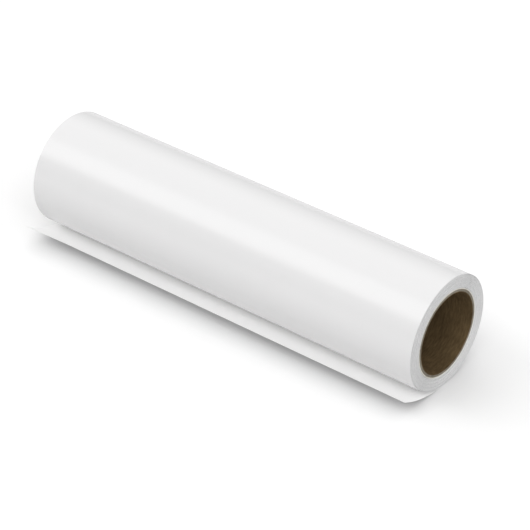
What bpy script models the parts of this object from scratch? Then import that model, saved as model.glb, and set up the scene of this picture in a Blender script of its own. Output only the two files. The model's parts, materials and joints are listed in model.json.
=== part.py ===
"""A roll of sign vinyl lying on its side, with the free end of the web curling up.

The web is white vinyl film on a release liner, wound face out on a spirally
wound paperboard core. X runs along the roll, the roll rests on z = 0 with its
lowest line at y = 0, and the free end comes out towards -Y.

Round pieces are prisms with the same number of flats, one flat straight down.
A radius is always the distance from the roll's axis to the middle of a flat.
"""
import math

import bmesh
import bpy

MM = 0.001

# The roll
WEB_WIDTH = 432 * MM  # a web 17 inches wide
ROLL_RADIUS = 55 * MM
FLATS = 36

# The web: vinyl film with its adhesive, on a siliconed paper liner
FILM_THICKNESS = 0.10 * MM
LINER_THICKNESS = 0.14 * MM
BOND_GAP = 0.02 * MM  # between the film's adhesive and the liner
TURN_GAP = 0.04 * MM  # between one turn and the next

# The core: a tube for a 3 inch spindle, built up from kraft board strips
CORE_BORE_RADIUS = 38.1 * MM
CORE_LENGTH = WEB_WIDTH  # cut flush with the web
PLY_THICKNESS = 0.70 * MM
PLY_GLUE_GAP = 0.02 * MM
BODY_PLIES = 3
STRIP_ADVANCE = 110 * MM  # how far a strip moves along the core in one turn
STRIP_BUTT_GAP = 0.4 * MM

# The tape that holds the start of the web to the core
TAPE_THICKNESS = 0.13 * MM
TAPE_FLATS = 3
TAPE_CLEARANCE = 0.03 * MM

# The free end: a slow upward curl
CURL_RADIUS = 118 * MM
FREE_END_LENGTH = 64 * MM  # from the roll's lowest line to the free edge
HINGE_DISTANCE = 22 * MM  # from the roll's lowest line to where the end flexes
PEEL_DISTANCE = 36 * MM  # and to where the liner's edge peels back
CURL_STEP = math.radians(2.0)
CUT_GAP = 0.3 * MM  # between pieces that meet end to end

# The last turn stops one flat short of a full turn, above the start of the lead-out
LAST_TURN_FLATS = FLATS - 1

HALF_FLAT = math.pi / FLATS
WEB_THICKNESS = FILM_THICKNESS + BOND_GAP + LINER_THICKNESS
TURN_PITCH = WEB_THICKNESS + TURN_GAP
CORE_RADIUS = CORE_BORE_RADIUS + (BODY_PLIES + 2) * PLY_THICKNESS + (BODY_PLIES + 1) * PLY_GLUE_GAP
WOUND_INNER_RADIUS = CORE_RADIUS + TAPE_THICKNESS + 2 * TAPE_CLEARANCE
# The wound web turns inside the last turn, so its corners clear the flats around it
WOUND_OUTER_RADIUS = (ROLL_RADIUS - TURN_PITCH - WEB_THICKNESS - TURN_GAP) * math.cos(HALF_FLAT)

VINYL_WHITE = (0.90, 0.90, 0.90)
LINER_WHITE = (0.86, 0.86, 0.84)
WOUND_EDGE_GREY = (0.74, 0.75, 0.76)
KRAFT_BROWN = (0.36, 0.24, 0.13)
KRAFT_DARK = (0.27, 0.17, 0.09)
TAPE_CREAM = (0.78, 0.72, 0.56)


def clear_scene():
    for old in list(bpy.data.objects):
        bpy.data.objects.remove(old, do_unlink=True)


def make_material(name, colour, roughness, metallic=0.0):
    material = bpy.data.materials.new(name)
    material.use_nodes = True
    shader = material.node_tree.nodes["Principled BSDF"]
    shader.inputs["Base Color"].default_value = (*colour, 1.0)
    shader.inputs["Roughness"].default_value = roughness
    shader.inputs["Metallic"].default_value = metallic
    return material


def roll_point(x, radius, flat_edge):
    """A point on the prism of this radius, where flat_edge counts round from the
    left edge of the lowest flat, towards +Y first. It may be part of a flat."""
    angle = (2 * flat_edge - 1) * HALF_FLAT
    off_middle = (flat_edge % 1.0) * 2 * HALF_FLAT - HALF_FLAT
    reach = radius / math.cos(off_middle)
    return (x, reach * math.sin(angle), ROLL_RADIUS - reach * math.cos(angle))


def curl_point(x, height, distance):
    """A point on the free end: height above its lower face, distance along it."""
    angle = distance / CURL_RADIUS
    reach = CURL_RADIUS - height
    return (x, -reach * math.sin(angle), CURL_RADIUS - reach * math.cos(angle))


def skin_sections(name, sections, material, closed=False):
    """Joins four-cornered sections, one after the other, into one solid object."""
    bm = bmesh.new()
    rings = [[bm.verts.new(corner) for corner in section] for section in sections]
    pairs = list(zip(rings, rings[1:] + rings[:1] if closed else rings[1:]))
    for ring, following in pairs:
        for i in range(4):
            j = (i + 1) % 4
            bm.faces.new((ring[i], ring[j], following[j], following[i]))
    if not closed:
        bm.faces.new(rings[0][::-1])
        bm.faces.new(rings[-1])
    bmesh.ops.remove_doubles(bm, verts=bm.verts, dist=1e-7)
    bmesh.ops.recalc_face_normals(bm, faces=bm.faces)
    mesh = bpy.data.meshes.new(name)
    bm.to_mesh(mesh)
    bm.free()
    mesh.shade_smooth()
    mesh.set_sharp_from_angle(angle=math.radians(30))
    piece = bpy.data.objects.new(name, mesh)
    piece.data.materials.append(material)
    bpy.context.collection.objects.link(piece)
    return piece


def set_origin(piece, place):
    """Moves the object's origin to a place, and leaves the shape where it is."""
    for vertex in piece.data.vertices:
        vertex.co = [vertex.co[i] - place[i] for i in range(3)]
    piece.location = place


def tube(name, length, inner_radius, outer_radius, material):
    half = length / 2
    sections = [
        [
            roll_point(-half, inner_radius, flat),
            roll_point(half, inner_radius, flat),
            roll_point(half, outer_radius, flat),
            roll_point(-half, outer_radius, flat),
        ]
        for flat in range(FLATS)
    ]
    return skin_sections(name, sections, material, closed=True)


def helical_ply(name, inner_radius, seam_shift, material):
    """One board strip, wound at a slant and cut square with the core's ends.
    seam_shift is where its seam starts, as a share of a turn."""
    outer_radius = inner_radius + PLY_THICKNESS
    turns = CORE_LENGTH / STRIP_ADVANCE
    butt = STRIP_BUTT_GAP / STRIP_ADVANCE  # as a share of a turn
    tip, end = -1.0 + butt, turns
    flats = [tip * FLATS]
    flats += range(math.floor(tip * FLATS) + 1, math.ceil(end * FLATS))
    flats.append(end * FLATS)
    sections = []
    for flat in flats:
        advance = flat / FLATS * STRIP_ADVANCE
        low = min(max(advance, 0.0), CORE_LENGTH) - CORE_LENGTH / 2
        high = min(max(advance + STRIP_ADVANCE - STRIP_BUTT_GAP, 0.0), CORE_LENGTH) - CORE_LENGTH / 2
        place = flat + seam_shift * FLATS
        sections.append(
            [
                roll_point(low, inner_radius, place),
                roll_point(high, inner_radius, place),
                roll_point(high, outer_radius, place),
                roll_point(low, outer_radius, place),
            ]
        )
    return skin_sections(name, sections, material)


def make_core(board, dark_board):
    """The inner and outer plies are lapped into closed tubes, the plies between butt."""
    axis_place = (0.0, 0.0, ROLL_RADIUS)
    radius = CORE_BORE_RADIUS
    pieces = [tube("core_inner_ply", CORE_LENGTH, radius, radius + PLY_THICKNESS, dark_board)]
    for i in range(BODY_PLIES):
        radius += PLY_THICKNESS + PLY_GLUE_GAP
        # whole flats, so that every ply keeps its corners in line with the others
        seam_shift = round(i * FLATS / BODY_PLIES) / FLATS
        pieces.append(helical_ply(f"core_body_ply_{i + 1}", radius, seam_shift, board))
    radius += PLY_THICKNESS + PLY_GLUE_GAP
    pieces.append(tube("core_outer_ply", CORE_LENGTH, radius, radius + PLY_THICKNESS, board))
    for piece in pieces:
        set_origin(piece, axis_place)


def make_start_tape(tape):
    half = WEB_WIDTH / 2
    inner = CORE_RADIUS + TAPE_CLEARANCE
    outer = inner + TAPE_THICKNESS
    first = FLATS // 2
    sections = [
        [
            roll_point(-half, inner, flat),
            roll_point(half, inner, flat),
            roll_point(half, outer, flat),
            roll_point(-half, outer, flat),
        ]
        for flat in range(first, first + TAPE_FLATS + 1)
    ]
    set_origin(skin_sections("start_tape", sections, tape), (0.0, 0.0, ROLL_RADIUS))


def make_wound_web(wound):
    piece = tube("wound_web", WEB_WIDTH, WOUND_INNER_RADIUS, WOUND_OUTER_RADIUS, wound)
    set_origin(piece, (0.0, 0.0, ROLL_RADIUS))


def last_turn_layer(name, depth, thickness, material):
    """One layer of the outermost turn, depth below its face. It spirals in by one
    pitch, all of it after the lowest flat, which is level with the floor."""
    half = WEB_WIDTH / 2
    sections = []
    for flat in range(LAST_TURN_FLATS + 1):
        sunk = TURN_PITCH * max(flat - 1, 0) / (FLATS - 1)
        outer = ROLL_RADIUS - sunk - depth
        inner = outer - thickness
        sections.append(
            [
                roll_point(-half, inner, flat),
                roll_point(half, inner, flat),
                roll_point(half, outer, flat),
                roll_point(-half, outer, flat),
            ]
        )
    return skin_sections(name, sections, material)


def curl_layer(name, height, thickness, start, end, material):
    """One layer of the free end, height above its lower face, from start to end."""
    half = WEB_WIDTH / 2
    steps = max(2, math.ceil((end - start) / CURL_RADIUS / CURL_STEP))
    sections = []
    for i in range(steps + 1):
        distance = start + (end - start) * i / steps
        sections.append(
            [
                curl_point(-half, height, distance),
                curl_point(half, height, distance),
                curl_point(half, height + thickness, distance),
                curl_point(-half, height + thickness, distance),
            ]
        )
    return skin_sections(name, sections, material)


def make_web_end(film, liner):
    """The last turn, the lead-out that slides out as the roll turns, the free end
    that flexes and the edge of the liner that peels back."""
    liner_height = FILM_THICKNESS + BOND_GAP
    lead_start = ROLL_RADIUS * math.tan(HALF_FLAT) + CUT_GAP
    lead_end = HINGE_DISTANCE - CUT_GAP / 2
    free_start = HINGE_DISTANCE + CUT_GAP / 2
    flap_start = PEEL_DISTANCE + CUT_GAP / 2
    base_end = PEEL_DISTANCE - CUT_GAP / 2
    hinge_place = curl_point(0.0, WEB_THICKNESS / 2, HINGE_DISTANCE)
    peel_place = curl_point(0.0, liner_height, PEEL_DISTANCE)

    last_turn_layer("last_turn_film", 0.0, FILM_THICKNESS, film)
    last_turn_layer("last_turn_liner", liner_height, LINER_THICKNESS, liner)
    curl_layer("lead_out_film", 0.0, FILM_THICKNESS, lead_start, lead_end, film)
    curl_layer("lead_out_liner", liner_height, LINER_THICKNESS, lead_start, lead_end, liner)
    for piece in (
        curl_layer("free_end_film", 0.0, FILM_THICKNESS, free_start, FREE_END_LENGTH, film),
        curl_layer("free_end_liner", liner_height, LINER_THICKNESS, free_start, base_end, liner),
    ):
        set_origin(piece, hinge_place)
    flap = curl_layer("liner_flap", liner_height, LINER_THICKNESS, flap_start, FREE_END_LENGTH, liner)
    set_origin(flap, peel_place)


clear_scene()
make_core(
    make_material("kraft board", KRAFT_BROWN, 0.85),
    make_material("kraft board inside", KRAFT_DARK, 0.85),
)
make_start_tape(make_material("paper tape", TAPE_CREAM, 0.7))
make_wound_web(make_material("web edges", WOUND_EDGE_GREY, 0.5))
make_web_end(
    make_material("gloss vinyl", VINYL_WHITE, 0.2),
    make_material("liner paper", LINER_WHITE, 0.45),
)
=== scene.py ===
import json
import math

import bmesh
import bpy
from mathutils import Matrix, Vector


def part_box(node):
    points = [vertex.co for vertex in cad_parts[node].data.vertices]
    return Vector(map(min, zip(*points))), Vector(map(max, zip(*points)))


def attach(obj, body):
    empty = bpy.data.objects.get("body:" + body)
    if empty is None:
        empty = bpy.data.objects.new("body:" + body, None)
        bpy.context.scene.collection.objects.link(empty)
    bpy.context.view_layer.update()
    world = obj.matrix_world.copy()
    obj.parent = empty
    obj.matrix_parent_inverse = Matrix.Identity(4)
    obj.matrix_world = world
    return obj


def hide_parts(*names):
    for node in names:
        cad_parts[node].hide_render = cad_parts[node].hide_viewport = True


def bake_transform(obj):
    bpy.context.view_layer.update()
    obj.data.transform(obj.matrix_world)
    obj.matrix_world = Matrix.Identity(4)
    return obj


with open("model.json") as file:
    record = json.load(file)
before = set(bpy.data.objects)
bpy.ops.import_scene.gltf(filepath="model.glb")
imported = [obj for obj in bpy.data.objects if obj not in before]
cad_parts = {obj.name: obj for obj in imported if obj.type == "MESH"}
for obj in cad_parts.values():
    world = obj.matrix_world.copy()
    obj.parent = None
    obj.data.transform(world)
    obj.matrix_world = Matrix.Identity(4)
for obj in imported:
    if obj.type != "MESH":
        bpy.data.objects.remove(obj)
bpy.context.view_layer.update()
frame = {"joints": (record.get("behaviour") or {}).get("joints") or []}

MM = 0.001
joints = {joint["name"]: joint for joint in frame["joints"]}
axis_height = joints["roll_turn"]["pos_m"][2]
roll_radius = axis_height
half_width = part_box("last_turn_film")[1].x

# ----------------------------------------------------------------------------
# Core
# A tube for a 3 inch spindle, wound at a slant from five strips of kraft board
# that are glued one on the other. The saw leaves its ends flush with the web.

PLY_THICKNESS = 0.70 * MM
GLUE_LINE = 0.02 * MM
STRIP_ADVANCE = 110 * MM
SEAM_WIDTH = 0.30 * MM
SEAM_ROUNDING = 0.12 * MM
MOUTH_ROUNDING = 0.25 * MM
STEPS_IN_A_TURN = 144

bore_radius = (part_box("core_inner_ply")[1].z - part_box("core_inner_ply")[0].z) / 2 - PLY_THICKNESS
ply_nodes = ["core_inner_ply", "core_body_ply_1", "core_body_ply_2", "core_body_ply_3", "core_outer_ply"]


def round_point(x, radius, turn):
    """A point round the roll's axis. turn counts turns from the lowest line towards +Y."""
    angle = turn * 2 * math.pi
    return (x, radius * math.sin(angle), axis_height - radius * math.cos(angle))


def finish_mesh(name, bm, sharp=40.0):
    bmesh.ops.remove_doubles(bm, verts=bm.verts, dist=1e-7)
    bmesh.ops.dissolve_degenerate(bm, edges=bm.edges, dist=1e-7)
    bmesh.ops.recalc_face_normals(bm, faces=bm.faces)
    mesh = bpy.data.meshes.new(name)
    bm.to_mesh(mesh)
    bm.free()
    mesh.shade_smooth()
    mesh.set_sharp_from_angle(angle=math.radians(sharp))
    piece = bpy.data.objects.new(name, mesh)
    bpy.context.scene.collection.objects.link(piece)
    return piece


def wind(name, sections, closed=False):
    """A solid skinned over cross-sections round the roll. A web's slit edges take its second material, a grey
    that holds painted shade.
    """
    bm = bmesh.new()
    rings = [[bm.verts.new(corner) for corner in section] for section in sections]
    corners = len(rings[0])
    following = rings[1:] + rings[:1] if closed else rings[1:]
    for ring, after in zip(rings, following):
        for i in range(corners):
            j = (i + 1) % corners
            side = bm.faces.new((ring[i], ring[j], after[j], after[i]))
            side.material_index = 1 if ring[i].co.x == ring[j].co.x and corners == 4 else 0
    if not closed:
        bm.faces.new(rings[0][::-1])
        bm.faces.new(rings[-1])
    return finish_mesh(name, bm)


def board_strip(name, inner_radius, seam_turn):
    """One strip of board, butted edge to edge with itself, cut off at the core's ends."""
    share = SEAM_WIDTH / STRIP_ADVANCE
    first, last = -1.0 + share, 2 * half_width / STRIP_ADVANCE
    steps = math.ceil((last - first) * STEPS_IN_A_TURN)
    outer_radius = inner_radius + PLY_THICKNESS
    sections = []
    for step in range(steps + 1):
        turn = first + (last - first) * step / steps
        low = min(max(turn * STRIP_ADVANCE - half_width, -half_width), half_width)
        high = turn * STRIP_ADVANCE + STRIP_ADVANCE - SEAM_WIDTH - half_width
        high = min(max(high, -half_width), half_width)
        edge = min(SEAM_ROUNDING, (high - low) / 2)
        mouth_low = min(max(MOUTH_ROUNDING - half_width, low + edge), high - edge)
        mouth_high = min(max(half_width - MOUTH_ROUNDING, low + edge), high - edge)
        at_low_mouth, at_high_mouth = low <= -half_width, high >= half_width
        inside = [
            (low, SEAM_ROUNDING if at_low_mouth else edge),
            (mouth_low if at_low_mouth else low + edge, 0.0),
            (mouth_high if at_high_mouth else high - edge, 0.0),
            (high, SEAM_ROUNDING if at_high_mouth else edge),
        ]
        place = turn + seam_turn
        section = [round_point(x, inner_radius + lift, place) for x, lift in inside]
        section += [round_point(high, outer_radius, place), round_point(low, outer_radius, place)]
        sections.append(section)
    return wind(name, sections)


def kraft_board(name, dark, light, roughness):
    """Brown board: short fibres in line with the strip, darker flecks, a dull surface."""
    material = bpy.data.materials.new(name)
    material.use_nodes = True
    nodes, links = material.node_tree.nodes, material.node_tree.links
    shader = nodes["Principled BSDF"]
    shader.inputs["Specular IOR Level"].default_value = 0.12
    place = nodes.new("ShaderNodeTexCoord")
    slant = nodes.new("ShaderNodeMapping")
    slant.inputs["Rotation"].default_value = (0.0, 0.0, math.radians(24))
    slant.inputs["Scale"].default_value = (700.0, 160.0, 160.0)
    fibre = nodes.new("ShaderNodeTexNoise")
    fibre.inputs["Scale"].default_value = 1.0
    fibre.inputs["Detail"].default_value = 6.0
    fibre.inputs["Roughness"].default_value = 0.62
    patch = nodes.new("ShaderNodeTexNoise")
    patch.inputs["Scale"].default_value = 35.0
    patch.inputs["Detail"].default_value = 3.0
    tone = nodes.new("ShaderNodeValToRGB")
    tone.color_ramp.elements[0].position = 0.30
    tone.color_ramp.elements[0].color = (*dark, 1.0)
    tone.color_ramp.elements[1].position = 0.72
    tone.color_ramp.elements[1].color = (*light, 1.0)
    mixed = nodes.new("ShaderNodeMix")
    mixed.data_type = "FLOAT"
    mixed.inputs["Factor"].default_value = 0.35
    bump = nodes.new("ShaderNodeBump")
    bump.inputs["Strength"].default_value = 0.25
    bump.inputs["Distance"].default_value = 0.15 * MM
    rough = nodes.new("ShaderNodeMapRange")
    rough.inputs["To Min"].default_value = roughness - 0.08
    rough.inputs["To Max"].default_value = roughness + 0.08
    links.new(place.outputs["Object"], slant.inputs["Vector"])
    links.new(slant.outputs["Vector"], fibre.inputs["Vector"])
    links.new(place.outputs["Object"], patch.inputs["Vector"])
    links.new(fibre.outputs["Fac"], mixed.inputs["A"])
    links.new(patch.outputs["Fac"], mixed.inputs["B"])
    links.new(mixed.outputs["Result"], tone.inputs["Fac"])
    links.new(tone.outputs["Color"], shader.inputs["Base Color"])
    links.new(fibre.outputs["Fac"], rough.inputs["Value"])
    links.new(rough.outputs["Result"], shader.inputs["Roughness"])
    links.new(fibre.outputs["Fac"], bump.inputs["Height"])
    links.new(bump.outputs["Normal"], shader.inputs["Normal"])
    return material


inner_board = kraft_board("brown kraft board", (0.062, 0.040, 0.017), (0.200, 0.136, 0.068), 0.80)
body_board = kraft_board("grey-brown board", (0.17, 0.150, 0.118), (0.37, 0.335, 0.275), 0.80)
outer_board = kraft_board("cream board", (0.74, 0.71, 0.63), (0.90, 0.88, 0.82), 0.70)
ply_boards = [inner_board, body_board, body_board, body_board, outer_board]
ply_radius = bore_radius
for number, node in enumerate(ply_nodes):
    ply = board_strip(node + "_strip", ply_radius, number / len(ply_nodes))
    ply.data.materials.append(ply_boards[number])
    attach(ply, "wound_roll")
    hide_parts(node)
    ply_radius += PLY_THICKNESS + GLUE_LINE
core_radius = ply_radius - GLUE_LINE

# ----------------------------------------------------------------------------
# Start tape
# A cream strip of paper tape along the core, under the first turn, that holds
# the start of the web. Only its ends show, as a line between core and web.

TAPE_THICKNESS = 0.13 * MM
TAPE_WIDTH = 25 * MM
TAPE_LIFT = 0.02 * MM


def paper_tape():
    material = bpy.data.materials.new("crepe paper tape")
    material.use_nodes = True
    nodes, links = material.node_tree.nodes, material.node_tree.links
    shader = nodes["Principled BSDF"]
    place = nodes.new("ShaderNodeTexCoord")
    stretch = nodes.new("ShaderNodeMapping")
    stretch.inputs["Scale"].default_value = (1800.0, 250.0, 250.0)
    crepe = nodes.new("ShaderNodeTexNoise")
    crepe.inputs["Scale"].default_value = 1.0
    crepe.inputs["Detail"].default_value = 4.0
    tone = nodes.new("ShaderNodeValToRGB")
    tone.color_ramp.elements[0].color = (0.60, 0.51, 0.33, 1.0)
    tone.color_ramp.elements[1].color = (0.78, 0.70, 0.50, 1.0)
    bump = nodes.new("ShaderNodeBump")
    bump.inputs["Strength"].default_value = 0.4
    bump.inputs["Distance"].default_value = 0.05 * MM
    shader.inputs["Roughness"].default_value = 0.7
    links.new(place.outputs["Object"], stretch.inputs["Vector"])
    links.new(stretch.outputs["Vector"], crepe.inputs["Vector"])
    links.new(crepe.outputs["Fac"], tone.inputs["Fac"])
    links.new(tone.outputs["Color"], shader.inputs["Base Color"])
    links.new(crepe.outputs["Fac"], bump.inputs["Height"])
    links.new(bump.outputs["Normal"], shader.inputs["Normal"])
    return material


tape_inner = core_radius + TAPE_LIFT
tape_outer = tape_inner + TAPE_THICKNESS
tape_turns = TAPE_WIDTH / (2 * math.pi * tape_inner)
tape_steps = 14
tape_sections = []
for step in range(tape_steps + 1):
    turn = 0.5 + tape_turns * step / tape_steps
    tape_sections.append(
        [
            round_point(-half_width, tape_inner, turn),
            round_point(half_width, tape_inner, turn),
            round_point(half_width, tape_outer, turn),
            round_point(-half_width, tape_outer, turn),
        ]
    )
tape = wind("start_tape_strip", tape_sections)
tape.data.materials.append(paper_tape())
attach(tape, "wound_roll")
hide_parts("start_tape")

# ----------------------------------------------------------------------------
# Wound web
# White vinyl film on a white paper liner, slit to width and wound face out in
# close turns. Each turn wanders a little along the core, so the ends show rings.

FILM_THICKNESS = 0.10 * MM
LINER_THICKNESS = 0.14 * MM
BOND_LINE = 0.01 * MM
TURN_PITCH = 0.27 * MM
LOOSE_TURNS = 3.0
LOOSE_PITCH = 0.36 * MM
WANDER = 0.10 * MM
BAND_WANDER = 0.16 * MM
WOUND_STEPS = 120

web_thickness = FILM_THICKNESS + BOND_LINE + LINER_THICKNESS
wound_outer = roll_radius - 2 * TURN_PITCH
wound_inner = tape_outer + web_thickness + 0.03 * MM
tight_turns = (wound_outer - wound_inner - LOOSE_TURNS * LOOSE_PITCH) / TURN_PITCH
wound_turns = tight_turns + LOOSE_TURNS


def wound_radius(turns_in):
    """Radius of the film's face, turns_in from the outermost wound turn."""
    loose = max(turns_in - tight_turns, 0.0)
    return wound_outer - min(turns_in, tight_turns) * TURN_PITCH - loose * LOOSE_PITCH


def edge_wander(turns_in):
    """How far the web's edges stand out towards +X at this turn."""
    band = math.sin(0.52 * turns_in - 0.9)
    slow = math.sin(0.91 * turns_in + 0.4) + 0.6 * math.sin(1.73 * turns_in + 1.9)
    quick = 0.45 * math.sin(4.37 * turns_in) + 0.35 * math.sin(9.1 * turns_in + 0.8)
    return BAND_WANDER * band + WANDER * (slow + quick) / 2.4


def wound_layer(name, depth, thickness):
    steps = math.ceil(wound_turns * WOUND_STEPS)
    sections = []
    for step in range(steps + 1):
        turns_in = wound_turns * step / steps
        outer = wound_radius(turns_in) - depth
        inner = outer - thickness
        shift = edge_wander(turns_in)
        sections.append(
            [
                round_point(shift - half_width, inner, turns_in),
                round_point(shift + half_width, inner, turns_in),
                round_point(shift + half_width, outer, turns_in),
                round_point(shift - half_width, outer, turns_in),
            ]
        )
    return wind(name, sections)


def white_vinyl():
    """Gloss white PVC film: a clear, smooth face with the faintest orange peel."""
    material = bpy.data.materials.new("gloss white vinyl")
    material.use_nodes = True
    nodes, links = material.node_tree.nodes, material.node_tree.links
    shader = nodes["Principled BSDF"]
    place = nodes.new("ShaderNodeTexCoord")
    peel = nodes.new("ShaderNodeTexNoise")
    peel.inputs["Scale"].default_value = 420.0
    peel.inputs["Detail"].default_value = 2.0
    haze = nodes.new("ShaderNodeTexNoise")
    haze.inputs["Scale"].default_value = 9.0
    haze.inputs["Detail"].default_value = 3.0
    tone = nodes.new("ShaderNodeValToRGB")
    tone.color_ramp.elements[0].color = (0.838, 0.834, 0.836, 1.0)
    tone.color_ramp.elements[1].color = (0.853, 0.849, 0.851, 1.0)
    rough = nodes.new("ShaderNodeMapRange")
    rough.inputs["To Min"].default_value = 0.16
    rough.inputs["To Max"].default_value = 0.22
    bump = nodes.new("ShaderNodeBump")
    bump.inputs["Strength"].default_value = 0.02
    bump.inputs["Distance"].default_value = 0.02 * MM
    links.new(place.outputs["Object"], peel.inputs["Vector"])
    links.new(place.outputs["Object"], haze.inputs["Vector"])
    links.new(haze.outputs["Fac"], tone.inputs["Fac"])
    links.new(haze.outputs["Fac"], rough.inputs["Value"])
    links.new(tone.outputs["Color"], shader.inputs["Base Color"])
    links.new(rough.outputs["Result"], shader.inputs["Roughness"])
    links.new(peel.outputs["Fac"], bump.inputs["Height"])
    links.new(bump.outputs["Normal"], shader.inputs["Normal"])
    return material


def liner_paper_with_painted_glow():
    """Clay-coated liner paper with a silicone coat: white, satin. The faint glow is painted light that lifts
    the liner where the roll shades it.
    """
    material = bpy.data.materials.new("release liner paper with painted glow")
    material.use_nodes = True
    nodes, links = material.node_tree.nodes, material.node_tree.links
    shader = nodes["Principled BSDF"]
    # Painted light: a faint white glow that lifts the liner where the roll shades it.
    shader.inputs["Emission Color"].default_value = (1.0, 1.0, 1.0, 1.0)
    shader.inputs["Emission Strength"].default_value = 0.09
    place = nodes.new("ShaderNodeTexCoord")
    fibre = nodes.new("ShaderNodeTexNoise")
    fibre.inputs["Scale"].default_value = 900.0
    fibre.inputs["Detail"].default_value = 5.0
    cloud = nodes.new("ShaderNodeTexNoise")
    cloud.inputs["Scale"].default_value = 60.0
    cloud.inputs["Detail"].default_value = 4.0
    tone = nodes.new("ShaderNodeValToRGB")
    tone.color_ramp.elements[0].color = (0.945, 0.945, 0.942, 1.0)
    tone.color_ramp.elements[1].color = (0.965, 0.965, 0.962, 1.0)
    rough = nodes.new("ShaderNodeMapRange")
    rough.inputs["To Min"].default_value = 0.36
    rough.inputs["To Max"].default_value = 0.50
    bump = nodes.new("ShaderNodeBump")
    bump.inputs["Strength"].default_value = 0.08
    bump.inputs["Distance"].default_value = 0.03 * MM
    links.new(place.outputs["Object"], fibre.inputs["Vector"])
    links.new(place.outputs["Object"], cloud.inputs["Vector"])
    links.new(cloud.outputs["Fac"], tone.inputs["Fac"])
    links.new(fibre.outputs["Fac"], rough.inputs["Value"])
    links.new(tone.outputs["Color"], shader.inputs["Base Color"])
    links.new(rough.outputs["Result"], shader.inputs["Roughness"])
    links.new(fibre.outputs["Fac"], bump.inputs["Height"])
    links.new(bump.outputs["Normal"], shader.inputs["Normal"])
    return material


def cut_edge_painted_shade(name, dark, light):
    """The web's slit edge: rough and a little grey, with painted shade that darkens the roll's end faces
    further.
    """
    material = bpy.data.materials.new(name)
    material.use_nodes = True
    nodes, links = material.node_tree.nodes, material.node_tree.links
    shader = nodes["Principled BSDF"]
    place = nodes.new("ShaderNodeTexCoord")
    nap = nodes.new("ShaderNodeTexNoise")
    nap.inputs["Scale"].default_value = 650.0
    nap.inputs["Detail"].default_value = 4.0
    tone = nodes.new("ShaderNodeValToRGB")
    tone.color_ramp.elements[0].position = 0.25
    tone.color_ramp.elements[0].color = (*dark, 1.0)
    tone.color_ramp.elements[1].position = 0.75
    tone.color_ramp.elements[1].color = (*light, 1.0)
    shader.inputs["Roughness"].default_value = 0.75
    links.new(place.outputs["Object"], nap.inputs["Vector"])
    links.new(nap.outputs["Fac"], tone.inputs["Fac"])
    links.new(tone.outputs["Color"], shader.inputs["Base Color"])
    return material


film_finish = white_vinyl()
liner_paper_and_glow = liner_paper_with_painted_glow()
# The grey of the slit edges is partly painted shade that darkens the roll's end faces.
film_edge_and_shade = cut_edge_painted_shade("slit film edge with painted shade", (0.68, 0.68, 0.685), (0.76, 0.76, 0.765))
liner_edge_and_shade = cut_edge_painted_shade("slit liner edge with painted shade", (0.62, 0.62, 0.62), (0.70, 0.70, 0.70))
liner_depth = FILM_THICKNESS + BOND_LINE

wound_film = wound_layer("wound_film", 0.0, FILM_THICKNESS)
wound_film.data.materials.append(film_finish)
wound_film.data.materials.append(film_edge_and_shade)
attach(wound_film, "wound_roll")
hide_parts("wound_web")

wound_liner = wound_layer("wound_liner", liner_depth, LINER_THICKNESS)
wound_liner.data.materials.append(liner_paper_and_glow)
wound_liner.data.materials.append(liner_edge_and_shade)
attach(wound_liner, "wound_roll")
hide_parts("wound_web")

# ----------------------------------------------------------------------------
# Last turn
# The outermost turn of film and liner, from the roll's lowest line all the way
# round and back over it. It is what gives the roll its clean, glossy face.

LAST_TURN_STEPS = 288


def last_turn_layer(name, depth, thickness):
    sections = []
    for step in range(LAST_TURN_STEPS + 1):
        turn = step / LAST_TURN_STEPS
        outer = roll_radius - TURN_PITCH * turn - depth
        inner = outer - thickness
        sections.append(
            [
                round_point(-half_width, inner, turn),
                round_point(half_width, inner, turn),
                round_point(half_width, outer, turn),
                round_point(-half_width, outer, turn),
            ]
        )
    return wind(name, sections)


last_film = last_turn_layer("last_turn_film_face", 0.0, FILM_THICKNESS)
last_film.data.materials.append(film_finish)
last_film.data.materials.append(film_edge_and_shade)
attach(last_film, "last_turn")
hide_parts("last_turn_film")

last_liner = last_turn_layer("last_turn_liner_back", liner_depth, LINER_THICKNESS)
last_liner.data.materials.append(liner_paper_and_glow)
last_liner.data.materials.append(liner_edge_and_shade)
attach(last_liner, "last_turn")
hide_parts("last_turn_liner")

# ----------------------------------------------------------------------------
# Free end
# The web leaves the roll at its lowest line and keeps the roll's curl, so its
# edge stands off the table. It was cut across by hand, a little off square.

CURL_RADIUS = 118 * MM
FREE_END_LENGTH = 64 * MM
FAR_CORNER_LENGTH = 8.2 * MM
FAR_CORNER_REACH = 55 * MM
ADHESIVE_THICKNESS = 0.008 * MM
ACROSS_STEPS = 108
LEAD_OUT_ROWS = 44

peel_distance = CURL_RADIUS * math.asin(-joints["liner_peel"]["pos_m"][1] / (CURL_RADIUS - liner_depth))
hinge_distance = CURL_RADIUS * math.asin(-joints["tail_lift"]["pos_m"][1] / (CURL_RADIUS - web_thickness / 2))


def curl_point(x, height, distance):
    """A point on the free end: height above its lower face, distance along the web."""
    angle = distance / CURL_RADIUS
    reach = CURL_RADIUS - height
    return Vector((x, -reach * math.sin(angle), CURL_RADIUS - reach * math.cos(angle)))


def free_edge(x):
    """How long the free end is at this place across the web."""
    corner = max(0.0, 1.0 - (x + half_width) / FAR_CORNER_REACH)
    return FREE_END_LENGTH + FAR_CORNER_LENGTH * corner * corner


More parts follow.
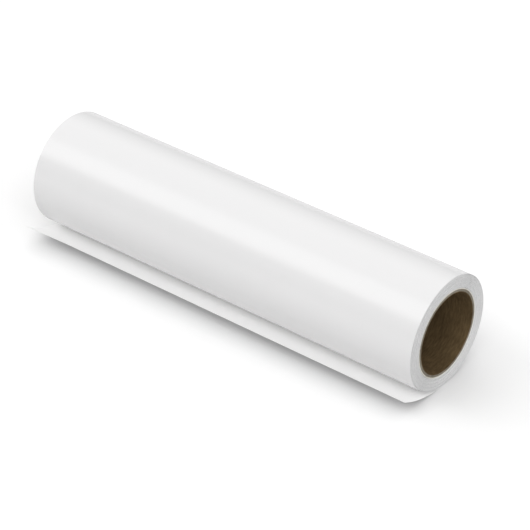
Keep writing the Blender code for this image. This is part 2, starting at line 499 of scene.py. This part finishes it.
def web_block(name, height, thickness, start, end, rows):
    """One layer of the free end as a closed solid. end is a distance, or None for the free edge."""
    bm = bmesh.new()
    lower, upper = [], []
    for row in range(rows + 1):
        share = row / rows
        lower_row, upper_row = [], []
        for column in range(ACROSS_STEPS + 1):
            x = half_width * (2 * column / ACROSS_STEPS - 1)
            far = free_edge(x) if end is None else end
            distance = start + (far - start) * share
            lower_row.append(bm.verts.new(curl_point(x, height, distance)))
            upper_row.append(bm.verts.new(curl_point(x, height + thickness, distance)))
        lower.append(lower_row)
        upper.append(upper_row)
    for row in range(rows):
        for column in range(ACROSS_STEPS):
            for grid in (lower, upper):
                near, far = grid[row], grid[row + 1]
                bm.faces.new((near[column], near[column + 1], far[column + 1], far[column]))
    for row in range(rows):
        for column in (0, ACROSS_STEPS):
            bm.faces.new(
                (lower[row][column], lower[row + 1][column], upper[row + 1][column], upper[row][column])
            )
    for column in range(ACROSS_STEPS):
        for row in (0, rows):
            bm.faces.new(
                (lower[row][column], lower[row][column + 1], upper[row][column + 1], upper[row][column])
            )
    return finish_mesh(name, bm)


def clear_adhesive():
    """Pressure-sensitive coat on the film's back: pale grey, with the liner's fine grain in it."""
    material = bpy.data.materials.new("adhesive coat")
    material.use_nodes = True
    nodes, links = material.node_tree.nodes, material.node_tree.links
    shader = nodes["Principled BSDF"]
    place = nodes.new("ShaderNodeTexCoord")
    grain = nodes.new("ShaderNodeTexNoise")
    grain.inputs["Scale"].default_value = 700.0
    grain.inputs["Detail"].default_value = 4.0
    tone = nodes.new("ShaderNodeValToRGB")
    tone.color_ramp.elements[0].color = (0.58, 0.60, 0.61, 1.0)
    tone.color_ramp.elements[1].color = (0.68, 0.70, 0.71, 1.0)
    bump = nodes.new("ShaderNodeBump")
    bump.inputs["Strength"].default_value = 0.2
    bump.inputs["Distance"].default_value = 0.02 * MM
    shader.inputs["Roughness"].default_value = 0.35
    links.new(place.outputs["Object"], grain.inputs["Vector"])
    links.new(grain.outputs["Fac"], tone.inputs["Fac"])
    links.new(tone.outputs["Color"], shader.inputs["Base Color"])
    links.new(grain.outputs["Fac"], bump.inputs["Height"])
    links.new(bump.outputs["Normal"], shader.inputs["Normal"])
    return material


lead_out_layers = [
    ("lead_out_film", 0.0, FILM_THICKNESS, film_finish, "vinyl_film"),
    ("lead_out_liner", liner_depth, LINER_THICKNESS, liner_paper_and_glow, "release_liner"),
]
for node, height, thickness, finish, slot in lead_out_layers:
    run = web_block(node + "_run", height, thickness, 0.0, hinge_distance, LEAD_OUT_ROWS)
    run.data.materials.append(finish)
    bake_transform(run)
    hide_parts(node)

free_film = web_block("free_end_film_sheet", 0.0, FILM_THICKNESS, hinge_distance, None, 72)
free_film.data.materials.append(film_finish)
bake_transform(free_film)
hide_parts("free_end_film")

coat = web_block("free_end_adhesive_coat", FILM_THICKNESS, ADHESIVE_THICKNESS, peel_distance, None, 48)
coat.data.materials.append(clear_adhesive())
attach(coat, "free_end")
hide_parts("free_end_film")

free_liner = web_block(
    "free_end_liner_base", liner_depth, LINER_THICKNESS, hinge_distance, peel_distance, 26
)
free_liner.data.materials.append(liner_paper_and_glow)
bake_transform(free_liner)
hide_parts("free_end_liner")

flap = web_block("liner_flap_sheet", liner_depth, LINER_THICKNESS, peel_distance, None, 48)
flap.data.materials.append(liner_paper_and_glow)
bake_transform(flap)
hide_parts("liner_flap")

# ----------------------------------------------------------------------------
# Studio
# A white sweep, a sky that is bright along a band in front of and above the roll
# for the streak on its face, and a long lens looking down on it.


FLOOR_SIZE = 30.0
FLOOR_WHITENESS = 0.95
PAINTED_SHADOW_WHITENESS = 0.60
PAINTED_SHADOW_REACH = 30 * MM
THROWN_BACK = 0.74


def white_floor_with_painted_shadow():
    """White paper with painted shadow: an occlusion node darkens it close under things. It looks lighter than
    the light it throws on the roll.
    """
    material = bpy.data.materials.new("white sweep with painted shadow")
    material.use_nodes = True
    nodes, links = material.node_tree.nodes, material.node_tree.links
    shader = nodes["Principled BSDF"]
    shader.inputs["Emission Color"].default_value = (1.0, 1.0, 1.0, 1.0)
    shader.inputs["Emission Strength"].default_value = 0.08
    shader.inputs["Roughness"].default_value = 0.9
    shader.inputs["Specular IOR Level"].default_value = 0.1
    # Painted shadow: occlusion darkens the floor's colour close under the roll and the free end.
    painted_shadow_ao = nodes.new("ShaderNodeAmbientOcclusion")
    painted_shadow_ao.samples = 12
    painted_shadow_ao.inputs["Distance"].default_value = PAINTED_SHADOW_REACH
    tone = nodes.new("ShaderNodeMapRange")
    tone.inputs["From Min"].default_value = 0.0
    tone.inputs["From Max"].default_value = 0.95
    tone.inputs["To Min"].default_value = PAINTED_SHADOW_WHITENESS
    tone.inputs["To Max"].default_value = FLOOR_WHITENESS
    in_view = nodes.new("ShaderNodeLightPath")
    thrown_back = nodes.new("ShaderNodeMapRange")
    thrown_back.inputs["To Min"].default_value = THROWN_BACK
    thrown_back.inputs["To Max"].default_value = 1.0
    whiteness = nodes.new("ShaderNodeMath")
    whiteness.operation = "MULTIPLY"
    links.new(painted_shadow_ao.outputs["AO"], tone.inputs["Value"])
    links.new(in_view.outputs["Is Camera Ray"], thrown_back.inputs["Value"])
    links.new(tone.outputs["Result"], whiteness.inputs[0])
    links.new(thrown_back.outputs["Result"], whiteness.inputs[1])
    links.new(whiteness.outputs["Value"], shader.inputs["Base Color"])
    return material


bm = bmesh.new()
bmesh.ops.create_grid(bm, x_segments=1, y_segments=1, size=FLOOR_SIZE / 2)
floor = finish_mesh("floor", bm)
floor.data.materials.append(white_floor_with_painted_shadow())

SKY_STRENGTH = 2.66
# degrees forward of straight up, and the share of the sky's full strength there
SKY_BANDS = [
    (-90, 0.14),
    (-60, 0.22),
    (-36, 0.38),
    (-20, 0.26),
    (12, 0.26),
    (20, 0.72),
    (36, 0.84),
    (44, 1.00),
    (52, 0.56),
    (58, 0.04),
    (90, 0.04),
]


def studio_sky():
    """Light by how far a direction leans forward of straight up, behind a plain white backdrop."""
    world = bpy.data.worlds.new("studio")
    world.use_nodes = True
    nodes, links = world.node_tree.nodes, world.node_tree.links
    softboxes = nodes["Background"]
    softboxes.inputs["Strength"].default_value = SKY_STRENGTH
    backdrop = nodes.new("ShaderNodeBackground")
    backdrop.inputs["Color"].default_value = (1.0, 1.0, 1.0, 1.0)
    in_view = nodes.new("ShaderNodeLightPath")
    chosen = nodes.new("ShaderNodeMixShader")
    direction = nodes.new("ShaderNodeTexCoord")
    parts = nodes.new("ShaderNodeSeparateXYZ")
    forward = nodes.new("ShaderNodeMath")
    forward.operation = "MULTIPLY"
    forward.inputs[1].default_value = -1.0
    lean = nodes.new("ShaderNodeMath")
    lean.operation = "ARCTAN2"
    share = nodes.new("ShaderNodeMapRange")
    share.inputs["From Min"].default_value = -math.pi / 2
    share.inputs["From Max"].default_value = math.pi / 2
    bands = nodes.new("ShaderNodeValToRGB")
    stops = bands.color_ramp.elements
    while len(stops) < len(SKY_BANDS):
        stops.new(0.5)
    for stop, (degrees, level) in zip(stops, SKY_BANDS):
        stop.position = (degrees + 90) / 180
        stop.color = (level, level, level, 1.0)
    links.new(direction.outputs["Generated"], parts.inputs["Vector"])
    links.new(parts.outputs["Y"], forward.inputs[0])
    links.new(forward.outputs["Value"], lean.inputs[0])
    links.new(parts.outputs["Z"], lean.inputs[1])
    links.new(lean.outputs["Value"], share.inputs["Value"])
    links.new(share.outputs["Result"], bands.inputs["Fac"])
    links.new(bands.outputs["Color"], softboxes.inputs["Color"])
    links.new(in_view.outputs["Is Camera Ray"], chosen.inputs["Fac"])
    links.new(softboxes.outputs["Background"], chosen.inputs[1])
    links.new(backdrop.outputs["Background"], chosen.inputs[2])
    links.new(chosen.outputs["Shader"], nodes["World Output"].inputs["Surface"])
    return world


bpy.context.scene.world = studio_sky()

CAMERA_LENS = 165.3
CAMERA_DISTANCE = 2.200
CAMERA_AZIMUTH = 38.38
CAMERA_ELEVATION = 34.64
AIM_RIGHT = 0.2336 * roll_radius
AIM_DOWN = 0.3175 * roll_radius

roll_middle = Vector((0.0, 0.0, axis_height))
azimuth = math.radians(CAMERA_AZIMUTH)
elevation = math.radians(CAMERA_ELEVATION)
back = Vector(
    (
        math.sin(azimuth) * math.cos(elevation),
        -math.cos(azimuth) * math.cos(elevation),
        math.sin(elevation),
    )
)
right = Vector((0.0, 0.0, 1.0)).cross(back).normalized()
up = back.cross(right)
aim = roll_middle + right * AIM_RIGHT - up * AIM_DOWN
lens = bpy.data.cameras.new("camera")
lens.lens = CAMERA_LENS
lens.sensor_width = 36.0
lens.clip_end = 50.0
camera = bpy.data.objects.new("camera", lens)
bpy.context.scene.collection.objects.link(camera)
camera.location = aim + back * CAMERA_DISTANCE
camera.rotation_euler = (-back).to_track_quat("-Z", "Y").to_euler()
bpy.context.scene.camera = camera

bpy.context.scene.view_settings.view_transform = "Standard"
